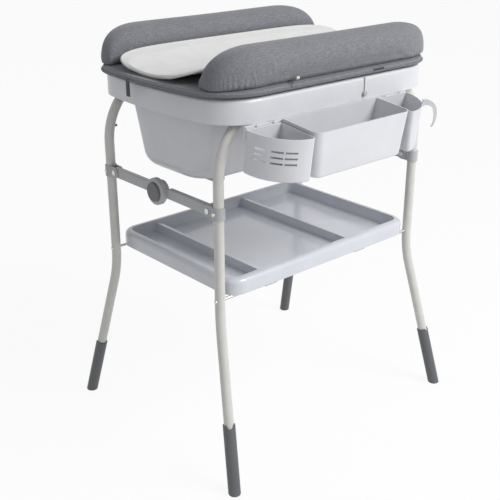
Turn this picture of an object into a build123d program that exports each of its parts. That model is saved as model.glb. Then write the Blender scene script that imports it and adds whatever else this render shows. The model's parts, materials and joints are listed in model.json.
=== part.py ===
"""Folding changing table: two arched tube frames, a bath tub, a padded mat, containers and a tray.

Millimetres, +Z up, X along the long side, the front faces -Y. The pieces are drawn about the middle of
the four legs and then moved along Y, so that the origin is on the floor under the middle of the whole.
The rear frame stands still; the side bars break upwards to fold the front frame in.
"""
import os
from math import cos, radians, sin, sqrt

from build123d import *

os.makedirs("parts", exist_ok=True)

# Tube frames
rim_past_leg_x = 24.5
rim_past_leg_y = 44.0
tube_d = 24.0
tube_wall = 1.5
arch_z = 901.0
arch_bend = 160.0
arch_straight = 10.0
knee_z = 405.0
knee_bend = 340.0
foot_splay_x = 47.0
foot_splay_y = 101.3
fit = 0.05
rest_gap = 0.3
bite = 1.0

# Foot sleeves
sleeve_d = 30.0
sleeve_length = 172.0
sleeve_sole = 9.0
sleeve_dip = 9.0
sleeve_lip_round = 1.2
sleeve_sole_round = 2.5

# Shelf rods and their end caps
rod_d = 8.0
rod_z = 457.0
rod_cap_d = 9.0
rod_cap_height = 2.0

# Side bars, brackets and lock joints
bar_z = 669.0
bar_height = 25.0
bar_thickness = 14.0
bar_round = 2.0
pivot_clear = 0.85
bracket_height = 28.0
collar_wall = 2.6
cheek = 2.5
pivot_pin_d = 8.0
rivet_head_d = 13.0
rivet_head_height = 2.4
leg_rivet_d = 9.0
lap_d = 48.0
lap_start = 37.0
centre_pin_d = 12.0
centre_head_d = 22.0
centre_head_height = 2.4
housing_d = 65.0
housing_depth = 13.0
lock_round = 3.0
pocket_d = 46.8
pocket_depth = 10.0
button_gap = 0.4
button_travel = 5.0
button_proud = 6.0
spring_d = 24.0
spring_wire = 1.0

# Stop pins on the rear legs
stop_pin_z = 780.0
stop_pin_d = 6.0
stop_pin_proud = 7.0

# Tub
rim_half_length = 358.0
rim_half_width = 256.0
rim_bow = 28.0
rim_corner = 105.0
rim_drop = 54.5
rim_round = 9.0
wall = 3.5
basin_inset = 26.0
basin_past_tube = 15.0
basin_slope_x = 12.0
basin_slope_y = 57.0
basin_top_corner = 100.0
basin_floor_corner = 85.0
basin_floor_z = 705.0
basin_round = 42.0
notch_inset = 87.5
notch_length = 76.0
tub_foot_inset_x = 82.0
tub_foot_inset_y = 54.0
tub_foot_length = 30.0
tub_foot_width = 60.0
tub_foot_drop = 10.0
tub_foot_corner = 5.0
tub_foot_round = 2.0
drain_x = 150.0
drain_d = 36.0
drain_cap_d = 46.0
drain_cap_height = 4.0
drain_cap_round = 1.5

# Clips that carry the tub on the top tubes
clip_x = 110.0
clip_width = 34.0
clip_wall = 3.0
clip_pad_width = 36.0

# Container rail and containers, hung with a forward lean
lean = 7.0
rail_stand_off = 6.0
rail_height = 28.0
rail_depth = 9.0
rail_left = -296.0
rail_right = 226.0
rail_web = 3.0
rail_web_length = 400.0
rail_web_rise = 26.0
screw_head_d = 10.0
screw_head_height = 2.5
slot_stem = 10.0
slot_head = 20.0
slot_head_depth = 3.0
slot_lip = 2.5
container_wall = 2.6
container_gap = 2.5
cup_left = -297.0
cup_split = -196.0
bin_split = 113.5
cup_right = 222.0
container_depth = 107.0
container_height = 102.0
bin_rise = 4.0
cup_drop = 4.0
bin_taper = 9.0
bin_corner = 20.0
cup_corner = 8.0
container_floor_round = 5.0
drain_slot_length = 27.0
drain_slot_height = 4.6
drain_slot_pitch = 13.0
drain_slot_first = 30.0
drain_slot_rows = 3
drain_slot_angles = (202.0, 223.5, 240.5)
hook_thickness = 8.0
hook_reach = 35.0
hook_drop = 57.0
hook_lip = 8.0
hook_root = 17.0
hook_neck = 9.0
hook_turn = 8.0
hook_tip = 3.0
hook_angle = 315.0

# Mat
mat_overhang_x = 20.0
mat_overhang_y = 1.0
mat_bow = 28.0
mat_corner = 130.0
mat_board = 3.0
mat_inset = 9.0
mat_thickness = 13.0
mat_round = 5.5
mat_hinge_stand_off = 13.0
mat_hinge_x = 180.0
mat_hinge_drop = 7.0
hinge_barrel_d = 14.0
hinge_barrel_width = 26.0
hinge_ear = 8.0
hinge_pin_d = 6.0
bolster_set_in = 6.0
bolster_width = 83.0
bolster_height = 84.0
bolster_bulge = 4.0
bolster_crown = 1.02
bolster_end_inset = 29.0
bolster_power = 2.5
bolster_tip_width = 0.28
bolster_end = 125.0
bolster_shoulder = 0.70
bolster_waist = 0.35
bolster_lean_out = 2.0
bolster_lean_in = 4.0
pad_end_inset = 23.0
pad_side_gap = 18.0
pad_end_power = 6.0
pad_side_power = 8.0
pad_thickness = 10.0
pad_rise = 33.0
pad_edge = 8.0
pad_edge_lean = 2.0
strap_y = 48.0
strap_width = 14.0
strap_thickness = 2.5
strap_length = 40.0
strap_round = 3.0
tag_x = 124.0
tag_length = 36.0
tag_height = 9.0
tag_thickness = 1.0
cord_d = 2.2
cord_x = 76.0
cord_button_d = 13.0
cord_button_height = 6.0
cord_button_drop = 39.0
cord_button_round = 2.0
loop_x = -155.0
loop_width = 9.0
loop_height = 22.0
loop_foot = 2.0
loop_wire = 1.6
bead_d = 7.0
bead_length = 9.0
bead_round = 1.5

# Tray
tray_leg_gap = 21.5
tray_past_rod = 17.0
tray_height = 39.0
tray_rim = 21.0
tray_wall = 3.0
tray_corner = 44.0
tray_round = 13.0
tray_floor_rise = 4.0
tray_rib_left = -200.0
tray_rib_right = 102.0
tray_rib = 10.0
tray_rib_drop = 9.0
tray_clip_x = 157.0
tray_clip_shift = -20.0
tray_clip_length = 34.0
tray_clip_wall = 3.0
tray_lug_length = 80.0
tray_lug_drop = 17.0
tray_lug_x = -10.0
tray_lug_round = 4.0

# Derived places
tube_r = tube_d / 2
leg_x = rim_half_length - rim_past_leg_x
leg_y = rim_half_width - rim_past_leg_y
foot_x = leg_x + foot_splay_x
foot_y = leg_y + foot_splay_y
basin_top_x = rim_half_length - basin_inset
basin_top_y = leg_y - tube_r - basin_past_tube
basin_floor_x = basin_top_x - basin_slope_x
basin_floor_y = basin_top_y - basin_slope_y
notch_inner = leg_x - notch_inset
notch_outer = notch_inner + notch_length
tub_foot_x = basin_floor_x - tub_foot_inset_x
tub_foot_y = basin_floor_y - tub_foot_inset_y
rail_y = rim_half_width + rail_stand_off
mat_half_length = rim_half_length + mat_overhang_x
mat_half_width = rim_half_width + mat_overhang_y
mat_hinge_y = rim_half_width + mat_hinge_stand_off
bolster_inner = mat_half_width - bolster_width - bolster_set_in
bolster_flat = mat_half_length - bolster_end_inset - bolster_end
pad_half_length = mat_half_length - pad_end_inset
pad_half_width = bolster_inner - pad_side_gap
tray_half_length = leg_x - tray_leg_gap
tray_half_width = leg_y + tray_past_rod
arch_inner = leg_x - arch_bend - arch_straight
collar_r = tube_r + fit + collar_wall
pivot_inset = collar_r + bar_height / 2 + pivot_clear
pivot_y = leg_y - pivot_inset
clip_top = arch_z + tube_r + fit + clip_wall
rim_under = clip_top + rest_gap
rim_top = rim_under + wall
rim_low = rim_top - rim_drop
rail_top_z = rim_low - rest_gap - rail_depth * sin(radians(lean))
board_low = rim_top + rest_gap
mat_low = board_low + mat_board + rest_gap
mat_top = mat_low + mat_thickness
hinge_z = board_low - mat_hinge_drop
tray_low = rod_z + rod_d / 2 + rest_gap
tray_top = tray_low + tray_height

SIDES = (("left", -1), ("right", 1))


pieces = {}


def finish(builder, name):
    """Keep one finished piece under its name."""
    pieces[name] = builder.part


def across(x, y=0.0, z=0.0):
    """Plane whose sketches lie in YZ (local x is +Y, local y is +Z), facing +X."""
    return Plane(origin=(x, y, z), x_dir=(0, 1, 0), z_dir=(1, 0, 0))


def bowed_plan(half_length, half_width, bow, corner):
    """Plan with straight long sides, bowed short ends and round corners."""
    with BuildSketch() as plan:
        with BuildLine():
            Line((-half_length + bow, -half_width), (half_length - bow, -half_width))
            ThreePointArc(
                (half_length - bow, -half_width), (half_length, 0), (half_length - bow, half_width)
            )
            Line((half_length - bow, half_width), (-half_length + bow, half_width))
            ThreePointArc(
                (-half_length + bow, half_width), (-half_length, 0), (-half_length + bow, -half_width)
            )
        make_face()
        fillet(plan.vertices(), radius=corner)
    return plan.sketch


# Tube frames

def leg_line(side, end):
    """Corner points of one leg: top joint, shoulder, knee, and where its line meets the floor."""
    top = Vector(side * arch_inner, end * leg_y, arch_z)
    shoulder = Vector(side * leg_x, end * leg_y, arch_z)
    knee = Vector(side * leg_x, end * leg_y, knee_z)
    ground = Vector(side * foot_x, end * foot_y, 0)
    return top, shoulder, knee, ground


def make_leg(side, end, name):
    """Bent tube from the top joint to the foot, with a cross hole for the shelf rod."""
    top, shoulder, knee, ground = leg_line(side, end)
    toe = ground + (knee - ground).normalized() * sleeve_sole
    with BuildPart() as leg:
        with BuildLine():
            FilletPolyline(top, shoulder, knee, toe, radius=[arch_bend, knee_bend])
        with BuildSketch(Plane(origin=top, x_dir=(0, 1, 0), z_dir=(side, 0, 0))):
            Circle(tube_r)
            Circle(tube_r - tube_wall, mode=Mode.SUBTRACT)
        sweep()
        with BuildSketch(across(side * leg_x, end * leg_y, rod_z)):
            Circle(rod_d / 2 + fit)
        extrude(amount=-side * tube_d, mode=Mode.SUBTRACT)
        if end > 0:
            with BuildSketch(across(side * leg_x, end * leg_y, stop_pin_z)):
                Circle(stop_pin_d / 2 + fit)
            extrude(amount=-side * 2 * tube_d, mode=Mode.SUBTRACT)
    finish(leg, name)


def make_sleeve(side, end, name):
    """Plastic foot over the lower end of a leg, flat where it stands."""
    _, _, knee, ground = leg_line(side, end)
    up = (knee - ground).normalized()
    outward = Vector(up.X, up.Y, 0).normalized() * -1
    outward = (outward - up * outward.dot(up)).normalized()
    inward = outward * -1
    with BuildPart() as sleeve:
        with BuildSketch(Plane(origin=ground - up * sleeve_d, x_dir=inward, z_dir=up)):
            Circle(sleeve_d / 2)
        extrude(amount=sleeve_length + sleeve_d)
        fillet(sleeve.edges().sort_by(Axis.Z)[-1], radius=sleeve_lip_round)
        with BuildSketch(Plane(origin=ground + up * sleeve_sole, x_dir=inward, z_dir=up)):
            Circle(tube_r + fit)
        extrude(amount=sleeve_length, mode=Mode.SUBTRACT)
        with BuildSketch(Plane(origin=ground + up * sleeve_length, x_dir=up, z_dir=outward)):
            Circle(sleeve_dip)
        extrude(amount=sleeve_d, mode=Mode.SUBTRACT)
        with Locations((ground.X, ground.Y, -sleeve_d)):
            Box(4 * sleeve_d, 4 * sleeve_d, 2 * sleeve_d, mode=Mode.SUBTRACT)
        fillet(sleeve.faces().sort_by(Axis.Z)[0].edges(), radius=sleeve_sole_round)
    finish(sleeve, name)


def make_top_tube(end, name):
    """Straight tube between the two leg bends."""
    with BuildPart() as tube:
        with BuildSketch(across(-arch_inner, end * leg_y, arch_z)):
            Circle(tube_r)
            Circle(tube_r - tube_wall, mode=Mode.SUBTRACT)
        extrude(amount=2 * arch_inner)
    finish(tube, name)


def make_rod(end, name):
    """Shelf rod from leg to leg."""
    with BuildPart() as rod:
        with BuildSketch(across(-leg_x, end * leg_y, rod_z)):
            Circle(rod_d / 2)
        extrude(amount=2 * leg_x)
    finish(rod, name)


def make_bracket(side, end, name):
    """Collar round a leg with two cheeks that take the end of a side bar."""
    inner = bar_thickness / 2 + rest_gap
    with BuildPart() as bracket:
        with BuildSketch(Plane((side * leg_x, end * leg_y, bar_z - bracket_height / 2))):
            Circle(collar_r)
        extrude(amount=bracket_height)
        for face in (1, -1):
            with BuildSketch(across(side * leg_x + face * inner, end * pivot_y, bar_z)):
                Circle(bracket_height / 2)
                with Locations((end * pivot_inset / 2, 0)):
                    Rectangle(pivot_inset, bracket_height)
                Circle(pivot_pin_d / 2 + fit, mode=Mode.SUBTRACT)
            extrude(amount=face * cheek)
        with BuildSketch(Plane((side * leg_x, end * leg_y, bar_z - bracket_height))):
            Circle(tube_r + fit)
        extrude(amount=2 * bracket_height, mode=Mode.SUBTRACT)
    finish(bracket, name)


def make_rivets(end, name):
    """Pivot pins of both brackets, and the round heads on the legs at brackets and rods."""
    outer = bar_thickness / 2 + rest_gap + cheek
    with BuildPart() as rivets:
        for _, side in SIDES:
            with BuildSketch(across(side * leg_x - outer, end * pivot_y, bar_z)):
                Circle(pivot_pin_d / 2)
            extrude(amount=2 * outer)
            for face in (1, -1):
                with BuildSketch(across(side * leg_x + face * outer, end * pivot_y, bar_z)):
                    Circle(rivet_head_d / 2)
                extrude(amount=face * rivet_head_height)
            with BuildSketch(across(side * (leg_x + tube_r), end * leg_y, bar_z)):
                Circle(leg_rivet_d / 2)
            extrude(amount=side * (collar_wall + rivet_head_height))
            with BuildSketch(Plane((side * leg_x, end * leg_y, bar_z - bracket_height / 2))):
                Circle(collar_r + fit)
            extrude(amount=bracket_height, mode=Mode.SUBTRACT)
            with BuildSketch(across(side * (leg_x + tube_r - rod_cap_height), end * leg_y, rod_z)):
                Circle(rod_cap_d / 2)
            extrude(amount=side * 2 * rod_cap_height)
            with BuildSketch(Plane((side * leg_x, end * leg_y, rod_z - tube_d))):
                Circle(tube_r + fit)
            extrude(amount=2 * tube_d, mode=Mode.SUBTRACT)
            with BuildSketch(across(side * leg_x - outer, end * pivot_y, bar_z)):
                Circle(pivot_pin_d / 2)
            extrude(amount=2 * outer)
    finish(rivets, name)


for end_name, end in (("front", -1), ("rear", 1)):
    for side_name, side in SIDES:
        make_leg(side, end, f"{end_name}_leg_{side_name}")
        make_sleeve(side, end, f"{end_name}_foot_{side_name}")
        make_bracket(side, end, f"{end_name}_bracket_{side_name}")
    make_top_tube(end, f"{end_name}_top_tube")
    make_rod(end, f"{end_name}_shelf_rod")
    make_rivets(end, f"{end_name}_rivets")


def make_stop_pins():
    """Short dark pins through the inner walls of the rear legs, seen beside the tub."""
    bend_offset = arch_bend - sqrt(arch_bend**2 - (stop_pin_z - arch_z + arch_bend) ** 2)
    inner_face = leg_x - bend_offset - tube_r
    with BuildPart() as pins:
        for _, side in SIDES:
            with BuildSketch(across(side * (inner_face + tube_r / 2), leg_y, stop_pin_z)):
                Circle(stop_pin_d / 2)
            extrude(amount=-side * (tube_r / 2 + stop_pin_proud))
    finish(pins, "stop_pins")


make_stop_pins()


# Side bars and lock joints

def make_bar(side, end, name):
    """Half of a side bar: pivot eye at the bracket, half-lapped disc at the lock joint."""
    centre_r = centre_pin_d / 2 + fit
    half = bar_thickness / 2
    layer = -side if end > 0 else side
    with BuildPart() as bar:
        with BuildSketch(across(side * leg_x, 0, bar_z)):
            with Locations((end * (pivot_y + lap_start) / 2, 0)):
                Rectangle(pivot_y - lap_start, bar_height)
            with Locations((end * pivot_y, 0)):
                Circle(bar_height / 2)
        extrude(amount=half, both=True)
        with BuildSketch(across(side * leg_x + layer * rest_gap / 2, 0, bar_z)):
            Circle(lap_d / 2)
            with Locations((end * (lap_start + bite) / 2, 0)):
                Rectangle(lap_start + bite, bar_height)
        extrude(amount=layer * (half - rest_gap / 2))
        with BuildSketch(across(side * leg_x - half, 0, bar_z)):
            Circle(centre_r)
            with Locations((end * pivot_y, 0)):
                Circle(pivot_pin_d / 2 + fit)
        extrude(amount=bar_thickness, mode=Mode.SUBTRACT)
        fillet(bar.edges().filter_by(Axis.Y), radius=bar_round)
    finish(bar, name)


def make_lock(side, side_name):
    """Round housing, its pin, spring and push button, on the outer face of a side bar."""
    face = leg_x + bar_thickness / 2
    mouth = face + housing_depth
    with BuildPart() as housing:
        with BuildSketch(across(side * face, 0, bar_z)):
            Circle(housing_d / 2)
        extrude(amount=side * housing_depth)
        fillet(housing.edges().group_by(Axis.X)[-1 if side > 0 else 0], radius=lock_round)
        with BuildSketch(across(side * mouth, 0, bar_z)):
            Circle(pocket_d / 2)
        extrude(amount=-side * pocket_depth, mode=Mode.SUBTRACT)
    finish(housing, f"lock_housing_{side_name}")

    inner = leg_x - bar_thickness / 2 - rest_gap
    with BuildPart() as pin:
        with BuildSketch(across(side * inner, 0, bar_z)):
            Circle(centre_pin_d / 2)
        extrude(amount=side * (face - inner))
        with BuildSketch(across(side * inner, 0, bar_z)):
            Circle(centre_head_d / 2)
        extrude(amount=-side * centre_head_height)
    finish(pin, f"lock_pin_{side_name}")

    floor = mouth - pocket_depth
    with BuildPart() as spring:
        with BuildSketch(across(side * floor, 0, bar_z)):
            Circle(spring_d / 2)
            Circle(spring_d / 2 - 3 * spring_wire, mode=Mode.SUBTRACT)
        extrude(amount=side * spring_wire)
    finish(spring, f"lock_spring_{side_name}")

    back = floor + spring_wire + rest_gap + button_travel
    with BuildPart() as button:
        with BuildSketch(across(side * back, 0, bar_z)):
            Circle(pocket_d / 2 - button_gap)
        extrude(amount=side * (mouth + button_proud - back))
        fillet(button.edges().group_by(Axis.X)[-1 if side > 0 else 0], radius=lock_round)
    finish(button, f"lock_button_{side_name}")


for side_name, side in SIDES:
    make_bar(side, 1, f"rear_bar_{side_name}")
    make_bar(side, -1, f"front_bar_{side_name}")
    make_lock(side, side_name)


# Tub

def basin(grow, floor_z, round_r):
    """Tapered basin with a round floor edge; grow is the outward offset from the inner face."""
    with BuildPart() as body:
        with BuildSketch(Plane.XY.offset(floor_z)):
            RectangleRounded(
                2 * (basin_floor_x + grow), 2 * (basin_floor_y + grow), basin_floor_corner + grow
            )
        with BuildSketch(Plane.XY.offset(rim_top)):
            RectangleRounded(2 * (basin_top_x + grow), 2 * (basin_top_y + grow), basin_top_corner + grow)
        loft()
        fillet(body.faces().sort_by(Axis.Z)[0].edges(), radius=round_r)
    return body.part


basin_outer = basin(0, basin_floor_z, basin_round)
basin_inner = basin(-wall, basin_floor_z + wall, basin_round - wall)

with BuildPart() as tub_shell:
    with BuildSketch(Plane.XY.offset(rim_low)):
        add(bowed_plan(rim_half_length, rim_half_width, rim_bow, rim_corner))
    extrude(amount=rim_drop)
    fillet(tub_shell.faces().sort_by(Axis.Z)[-1].edges(), radius=rim_round)
    with BuildSketch(Plane.XY.offset(rim_low)):
        add(bowed_plan(rim_half_length - wall, rim_half_width - wall, rim_bow, rim_corner - wall))
    extrude(amount=rim_drop - wall, mode=Mode.SUBTRACT)
    add(basin_outer)
    add(basin_inner, mode=Mode.SUBTRACT)
    notch_depth = rim_half_width - leg_y - tube_r
    for _, side in SIDES:
        with Locations((side * (notch_inner + notch_outer) / 2, rim_half_width, (rim_low + rim_under) / 2)):
            Box(notch_outer - notch_inner, 2 * notch_depth, rim_under - rim_low, mode=Mode.SUBTRACT)
    with BuildSketch(Plane.XY.offset(basin_floor_z)):
        with Locations((drain_x, 0)):
            Circle(drain_d / 2)
    extrude(amount=wall, mode=Mode.SUBTRACT)
finish(tub_shell, "tub_shell")

with BuildPart() as tub_feet:
    foot_low = basin_floor_z - tub_foot_drop
    for _, side in SIDES:
        for end in (-1, 1):
            with BuildSketch(Plane((side * tub_foot_x, end * tub_foot_y, foot_low))):
                RectangleRounded(tub_foot_length, tub_foot_width, tub_foot_corner)
            extrude(amount=basin_round)
    fillet(tub_feet.faces().group_by(Axis.Z)[0].edges(), radius=tub_foot_round)
    add(basin_outer, mode=Mode.SUBTRACT)
    with Locations((0, 0, basin_floor_z + basin_round)):
        Box(2 * rim_half_length, 2 * rim_half_width, basin_round, mode=Mode.SUBTRACT)
finish(tub_feet, "tub_feet")

with BuildPart() as drain_plug:
    with BuildSketch(Plane((drain_x, 0, basin_floor_z - wall))):
        Circle(drain_d / 2 - rest_gap)
    extrude(amount=2 * wall + rest_gap)
    with BuildSketch(Plane((drain_x, 0, basin_floor_z + wall + rest_gap))):
        Circle(drain_cap_d / 2)
    extrude(amount=drain_cap_height)
    fillet(drain_plug.edges().group_by(Axis.Z)[-1], radius=drain_cap_round)
finish(drain_plug, "drain_plug")


def make_tube_clips(end, name):
    """Two collars on a top tube, each with a flat pad that carries the tub's rim."""
    outer = tube_r + fit + clip_wall
    with BuildPart() as clips:
        for _, side in SIDES:
            start = side * clip_x - clip_width / 2
            with BuildSketch(across(start, end * leg_y, arch_z)):
                Circle(outer)
                with Locations((0, outer - clip_wall)):
                    Rectangle(clip_pad_width, 2 * clip_wall)
                with Locations((0, outer + clip_wall)):
                    Rectangle(clip_pad_width, 2 * clip_wall, mode=Mode.SUBTRACT)
                Circle(tube_r + fit, mode=Mode.SUBTRACT)
            extrude(amount=clip_width)
    finish(clips, name)


make_tube_clips(1, "tub_hinge_clips")
make_tube_clips(-1, "tub_rest_clips")

# Mat hinges: ears and pins on the rear of the rim
with BuildPart() as hinge_ears:
    for _, side in SIDES:
        for face in (-1, 1):
            ear_x = side * mat_hinge_x + face * (hinge_barrel_width / 2 + rest_gap)
            with BuildSketch(across(ear_x, 0, hinge_z)):
                with Locations((mat_hinge_y, 0)):
                    Circle(hinge_barrel_d / 2)
                with Locations(((rim_half_width + mat_hinge_y) / 2, -hinge_barrel_d / 2)):
                    Rectangle(mat_hinge_y - rim_half_width, 2 * hinge_barrel_d)
                with Locations((mat_hinge_y, 0)):
                    Circle(hinge_pin_d / 2 + fit, mode=Mode.SUBTRACT)
            extrude(amount=face * hinge_ear)
finish(hinge_ears, "mat_hinge_ears")

with BuildPart() as hinge_pins:
    pin_length = hinge_barrel_width + 2 * (rest_gap + hinge_ear)
    for _, side in SIDES:
        with BuildSketch(across(side * mat_hinge_x - pin_length / 2, mat_hinge_y, hinge_z)):
            Circle(hinge_pin_d / 2)
        extrude(amount=pin_length)
finish(hinge_pins, "mat_hinge_pins")


# Container rail and containers

lean_up = Vector(0, -sin(radians(lean)), cos(radians(lean)))
hang = Plane(origin=(0, -rail_y, rail_top_z), x_dir=(1, 0, 0), z_dir=lean_up)


def hang_plane(height):
    """Plane across the leaning containers; local -y points away from the tub."""
    return hang.offset(height)


def slot_places(left, right):
    """Two hanging points, a quarter of the width in from each side."""
    return (left + (right - left) / 4, right - (right - left) / 4)


containers = {
    "slotted_cup": (cup_left, cup_split - container_gap / 2),
    "storage_bin": (cup_split + container_gap / 2, bin_split - container_gap / 2),
    "round_cup": (bin_split + container_gap / 2, cup_right),
}

with BuildPart() as container_rail:
    with BuildSketch(hang_plane(-rail_height)):
        with Locations(((rail_left + rail_right) / 2, rail_depth / 2)):
            Rectangle(rail_right - rail_left, rail_depth)
    extrude(amount=rail_height)
    web_y = -(rim_half_width - wall - rest_gap)
    with BuildSketch(Plane.XY.offset(rim_low - rail_height / 2)):
        with Locations((0, web_y + rail_web / 2)):
            Rectangle(rail_web_length, rail_web)
    extrude(amount=rail_web_rise + rail_height / 2)
    for left, right in containers.values():
        for x in slot_places(left, right):
            with BuildSketch(hang_plane(-rail_height + slot_lip)):
                with Locations((x, slot_lip / 2)):
                    Rectangle(slot_stem, slot_lip + bite)
                with Locations((x, slot_lip + slot_head_depth / 2)):
                    Rectangle(slot_head, slot_head_depth)
            extrude(amount=2 * rail_height, mode=Mode.SUBTRACT)
finish(container_rail, "container_rail")

with BuildPart() as rail_screws:
    for x in (rail_left / 2, rail_right / 2):
        with BuildSketch(Plane((x, web_y + rail_web, rim_low + rail_web_rise / 2), z_dir=(0, 1, 0))):
            Circle(screw_head_d / 2)
        extrude(amount=screw_head_height)
finish(rail_screws, "rail_screws")


def hanging_tabs(left, right):
    """T-shaped tabs on the back of a container, loose in the slots of the rail."""
    tab_height = rail_height - slot_lip - cup_drop - bite
    with BuildPart() as tabs:
        for x in slot_places(left, right):
            with BuildSketch(hang_plane(-rail_height + slot_lip + rest_gap)):
                with Locations((x, slot_lip / 2)):
                    Rectangle(slot_stem - 4 * rest_gap, slot_lip + 2 * rest_gap)
                with Locations((x, slot_lip + slot_head_depth / 2)):
                    Rectangle(slot_head - 4 * rest_gap, slot_head_depth - 2 * rest_gap)
            extrude(amount=tab_height)
            with BuildSketch(hang_plane(-rail_height + slot_lip + rest_gap)):
                with Locations((x, -container_gap / 2)):
                    Rectangle(slot_stem - 4 * rest_gap, container_gap + bite)
            extrude(amount=tab_height)
    return tabs.part


def rounded_plan(left, right, depth, shrink, curved):
    """Plan of a container on its hanging plane: square, or round towards its curved side."""
    back = -container_gap - shrink
    left = left + shrink
    right = right - shrink
    front = -container_gap - depth + shrink
    with BuildSketch() as plan:
        if curved == "left":
            with BuildLine():
                Line((left, back), (right, back))
                Line((right, back), (right, front))
                EllipticalCenterArc((right, back), right - left, back - front, 180, arc_size=90)
            make_face()
        elif curved == "right":
            with BuildLine():
                Line((left, back), (right, back))
                EllipticalCenterArc((left, back), right - left, back - front, 270, arc_size=90)
                Line((left, front), (left, back))
            make_face()
        else:
            with Locations(((left + right) / 2, (back + front) / 2)):
                Rectangle(right - left, back - front)
    return plan.sketch


def shell_body(left, right, top, curved, taper, corner, shrink):
    """Tapered closed body of a container, from its floor to its mouth."""
    floor = -container_height + (container_wall if shrink else 0)
    mouth = top + (bite if shrink else 0)
    low_left = left + (0 if curved == "left" else taper)
    low_right = right - (0 if curved == "left" else taper)
    with BuildPart() as body:
        with BuildSketch(hang_plane(floor)):
            add(rounded_plan(low_left, low_right, container_depth, shrink, curved))
        with BuildSketch(hang_plane(mouth)):
            add(rounded_plan(left, right, container_depth, shrink, curved))
        loft()
        upright = body.edges().filter_by(lambda edge: abs(edge.tangent_at(0.5).dot(lean_up)) > 0.9)
        front_upright = upright.sort_by(Axis.Y)[: 2 if curved == "none" else 1]
        fillet(front_upright, radius=corner - shrink)
        floor_edges = body.faces().sort_by(Axis.Z)[0].edges()
        fillet(floor_edges, radius=container_floor_round - shrink)
    return body.part


def make_container(name, curved, top, taper, corner):
    """Open container with hanging tabs."""
    left, right = containers[name]
    outer = shell_body(left, right, top, curved, taper, corner, 0)
    inner = shell_body(left, right, top, curved, taper, corner, container_wall)
    with BuildPart() as container:
        add(outer)
        add(inner, mode=Mode.SUBTRACT)
        add(hanging_tabs(left, right))
        if curved == "left":
            for row in range(drain_slot_rows):
                height = top - drain_slot_first - row * drain_slot_pitch
                for angle in drain_slot_angles:
                    with Locations(hang_plane(height)):
                        with Locations(Location((right, -container_gap, 0), (0, 0, angle))):
                            with Locations((container_depth, 0, 0)):
                                Box(
                                    container_depth / 2,
                                    drain_slot_length,
                                    drain_slot_height,
                                    mode=Mode.SUBTRACT,
                                )
    return container


finish(make_container("slotted_cup", "left", -cup_drop, 0, cup_corner), "slotted_cup")
finish(make_container("storage_bin", "none", bin_rise, bin_taper, bin_corner), "storage_bin")
finish(make_container("round_cup", "right", 0, bin_taper, cup_corner), "round_cup")

# Towel hook: a crescent plate that stands out from the rim of the round cup
cup_left_edge, cup_right_edge = containers["round_cup"]
hook_base = hang.from_local_coords(
    Vector(
        cup_left_edge + (cup_right_edge - cup_left_edge) * cos(radians(hook_angle)),
        -container_gap + container_depth * sin(radians(hook_angle)),
        0,
    )
)
hook_out = Vector(cos(radians(hook_angle)), sin(radians(hook_angle)), 0)
hook_plane = Plane(origin=hook_base, x_dir=hook_out, z_dir=hook_out.cross(Vector(0, 0, 1)))


hook_shoulder = -hook_drop * 0.28
hook_belly = -hook_drop * 0.62
root_top = (rest_gap, hook_lip)
root_foot = (rest_gap, hook_lip - hook_root)
shoulder = (hook_reach, hook_shoulder)
tip = (hook_reach - hook_turn, -hook_drop)
inner_tip = (tip[0] - hook_tip, tip[1])
inner_shoulder = (hook_reach - hook_neck, hook_shoulder)
with BuildPart() as towel_hook:
    with BuildSketch(hook_plane):
        with BuildLine():
            ThreePointArc(root_top, (hook_reach * 0.58, hook_lip * 0.7), shoulder)
            ThreePointArc(shoulder, (hook_reach, hook_belly), tip)
            Line(tip, inner_tip)
            ThreePointArc(inner_tip, (hook_reach - hook_neck * 0.6, hook_belly), inner_shoulder)
            ThreePointArc(inner_shoulder, (hook_reach * 0.42, hook_lip - hook_root * 0.75), root_foot)
            Line(root_foot, root_top)
        make_face()
    extrude(amount=hook_thickness / 2, both=True)
finish(towel_hook, "towel_hook")


# Mat

with BuildPart() as mat_panel:
    with BuildSketch(Plane.XY.offset(board_low)):
        add(
            bowed_plan(
                mat_half_length - mat_inset, mat_half_width - mat_inset, mat_bow, mat_corner - mat_inset
            )
        )
        for _, side in SIDES:
            with Locations((side * mat_hinge_x, (mat_half_width + mat_hinge_y) / 2 - mat_inset)):
                Rectangle(hinge_barrel_width, mat_hinge_y - mat_half_width + 2 * mat_inset)
    extrude(amount=mat_board)
    for _, side in SIDES:
        with BuildSketch(across(side * mat_hinge_x - hinge_barrel_width / 2, mat_hinge_y, hinge_z)):
            Circle(hinge_barrel_d / 2)
            with Locations((-hinge_barrel_d / 4, mat_hinge_drop / 2 + mat_board / 2)):
                Rectangle(hinge_barrel_d / 2, mat_hinge_drop + mat_board)
        extrude(amount=hinge_barrel_width)
        with BuildSketch(across(side * mat_hinge_x - hinge_barrel_width / 2, mat_hinge_y, hinge_z)):
            Circle(hinge_pin_d / 2 + fit)
        extrude(amount=hinge_barrel_width, mode=Mode.SUBTRACT)
finish(mat_panel, "mat_panel")

with BuildPart() as mat_base:
    with BuildSketch(Plane.XY.offset(mat_low)):
        add(bowed_plan(mat_half_length, mat_half_width, mat_bow, mat_corner))
    extrude(amount=mat_thickness)
    fillet(mat_base.faces().sort_by(Axis.Z)[-1].edges(), radius=mat_round)
    fillet(mat_base.faces().sort_by(Axis.Z)[0].edges(), radius=mat_round)
finish(mat_base, "mat_base")


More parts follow.
